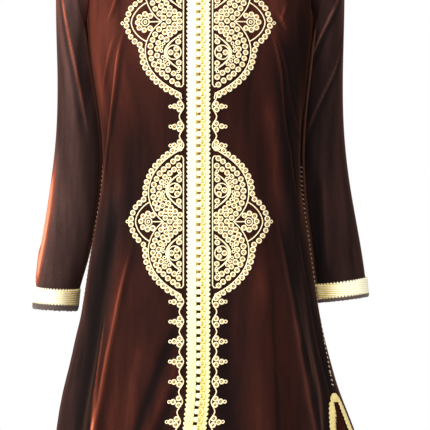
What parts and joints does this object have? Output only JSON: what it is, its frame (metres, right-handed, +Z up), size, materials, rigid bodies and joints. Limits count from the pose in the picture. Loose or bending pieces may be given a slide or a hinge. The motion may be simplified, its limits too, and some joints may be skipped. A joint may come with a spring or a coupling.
{
  "type": "buttoned velvet tunic, filled out as worn",
  "caption": "Hollow knee-length velvet tunic with long sleeves, side slits and a braided front opening closed by knot buttons.",
  "frame": {"origin": "between the shoulder points at the level of the shoulder seams' inner ends, where a wearer carries the tunic", "axes": "+Z up, front of the tunic towards -Y, +X towards the wearer's left"},
  "size_m": [0.5519, 0.3413, 1.0605],
  "materials": {
    "velvet": "dark brown velvet with a rust sheen",
    "gold_braid": "woven pale gold lurex braid",
    "knot_cord": "knotted pale gold cord",
    "crochet_edging": "dark brown crocheted thread"
  },
  "bodies": {
    "root": {"front_left": "velvet", "front_right": "velvet", "back": "velvet", "sleeve_left": "velvet", "sleeve_right": "velvet", "placket_braid_wide": "gold_braid", "placket_braid_narrow": "gold_braid", "buttons_upper": "knot_cord", "buttons_middle": "knot_cord", "buttons_lower": "knot_cord", "cuff_braid_left": "gold_braid", "cuff_braid_right": "gold_braid", "cuff_edging_left": "crochet_edging", "cuff_edging_right": "crochet_edging", "slit_braid_front_left": "gold_braid", "slit_braid_front_right": "gold_braid", "slit_braid_back_left": "gold_braid", "slit_braid_back_right": "gold_braid"}
  },
  "joints": []
}
